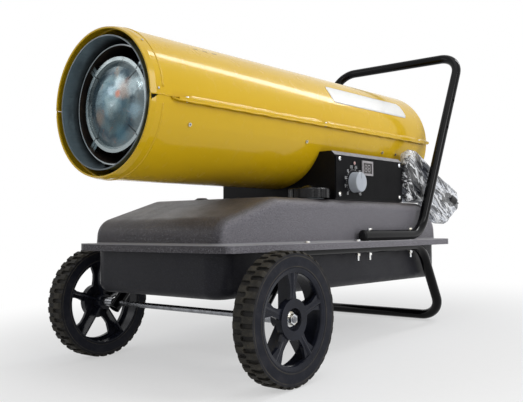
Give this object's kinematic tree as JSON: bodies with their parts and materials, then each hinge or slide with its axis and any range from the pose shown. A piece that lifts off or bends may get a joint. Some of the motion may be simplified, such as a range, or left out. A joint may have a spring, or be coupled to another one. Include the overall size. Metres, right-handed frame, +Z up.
{
  "type": "forced air heater",
  "caption": "Torpedo-type oil-fired forced air heater: a long barrel with burner, fan and pump inside, on a flat fuel tank with a tube handle, a rear foot and wheels.",
  "frame": {"origin": "on the floor, under the middle of the heater's width and length, its cord left out", "axes": "+Y back along the barrel from the outlet to the handle, +X to the side with the control panel, +Z up; the barrel and tank lean back by 3.1 degrees, as the heater stands"},
  "size_m": [0.5952, 1.1393, 0.7424],
  "materials": {
    "yellow": "gloss paint",
    "black_paint": "satin powder coat",
    "black_tube": "gloss powder coat",
    "zinc": "bright zinc plate",
    "steel": "bare steel sheet",
    "hot_steel": "heat-tinted stainless steel",
    "wheel_plastic": "moulded, dark grey",
    "tyre_rubber": "dusty black",
    "black_plastic": "moulded",
    "grey_plastic": "light grey, moulded",
    "silver_plastic": "silver grey",
    "lamp": "red lens",
    "brass": "machined",
    "ceramic": "glazed white",
    "cast": "cast",
    "motor": "grey enamel",
    "iron": "laminated",
    "board": "green laminate",
    "foam": "filter felt",
    "seal": "seal rubber",
    "cord": "cord sheath",
    "hose": "fuel hose",
    "lead": "silicone lead",
    "gauze": "gauze",
    "film": "clear film"
  },
  "bodies": {
    "heater_body": {"axle": "zinc", "axle_spacers": "zinc", "axle_washers": "zinc", "axle_nuts": "zinc", "support_frame": "black_tube", "handle_tube": "black_tube", "handle_end_plugs": "black_plastic", "frame_bolts": "zinc", "frame_nuts": "zinc", "tank_upper": "black_paint", "tank_lower": "black_paint", "filler_neck": "steel", "fuel_strainer": "gauze", "upper_shell": "yellow", "lower_shell": "yellow", "barrel_screws": "zinc", "heat_shield": "steel", "shield_brackets": "zinc", "combustion_chamber": "hot_steel", "flame_baffle": "hot_steel", "burner_head": "hot_steel", "fuel_nozzle": "brass", "ignition_electrodes": "ceramic", "photocell": "black_plastic", "motor_housing": "motor", "motor_bearings": "zinc", "motor_stator": "iron", "motor_bracket": "zinc", "pump_housing": "cast", "intake_filter": "foam", "filter_cover": "black_plastic", "rear_guard": "black_tube", "fuel_hose": "hose", "air_hose": "hose", "ignition_leads": "lead", "pedestal": "black_paint", "control_panel": "black_paint", "panel_screws": "zinc", "thermostat": "black_plastic", "display": "silver_plastic", "indicator_lamp": "lamp", "circuit_board": "board", "ignition_transformer": "black_plastic", "cable_gland": "black_plastic", "cord_lead": "cord", "plug_lead": "cord", "cord_hank": "cord", "mains_plug": "cord", "cord_bag": "film"},
    "right_wheel": {"right_tyre": "tyre_rubber", "right_rim": "wheel_plastic"},
    "left_wheel": {"left_tyre": "tyre_rubber", "left_rim": "wheel_plastic"},
    "motor_shaft": {"drive_shaft": "zinc", "fan": "cast", "motor_rotor": "iron", "pump_rotor": "steel"},
    "knob": {"thermostat_knob": "grey_plastic"},
    "cap_seal": {"cap_gasket": "seal"},
    "cap": {"fuel_cap": "black_plastic"}
  },
  "joints": [
    {"name": "right_wheel_spin", "type": "hinge", "parent": "heater_body", "child": "right_wheel", "pos_m": [0.27475, -0.37534, 0.125], "axis": [1, 0, 0], "continuous": true},
    {"name": "left_wheel_spin", "type": "hinge", "parent": "heater_body", "child": "left_wheel", "pos_m": [-0.27475, -0.37534, 0.125], "axis": [1, 0, 0], "continuous": true},
    {"name": "shaft_spin", "type": "hinge", "parent": "heater_body", "child": "motor_shaft", "pos_m": [0, 0.08612, 0.50431], "axis": [0, -0.9985, 0.0547], "continuous": true},
    {"name": "knob_turn", "type": "hinge", "parent": "heater_body", "child": "knob", "pos_m": [0.175, 0.02567, 0.37542], "axis": [-1, 0, 0], "range_deg": [0, 270]},
    {"name": "cap_rise", "type": "slide", "parent": "heater_body", "child": "cap_seal", "axis": [0, 0.0547, 0.9985], "range_m": [0, 0.0075]},
    {"name": "cap_turn", "type": "hinge", "parent": "cap_seal", "child": "cap", "pos_m": [0.14, -0.10504, 0.36056], "axis": [0, 0.0547, 0.9985], "range_deg": [0, 540]}
  ],
  "couplings": [
    {"joint": "cap_rise", "follows": "cap_turn", "m_per_rad": 0.00079577}
  ]
}
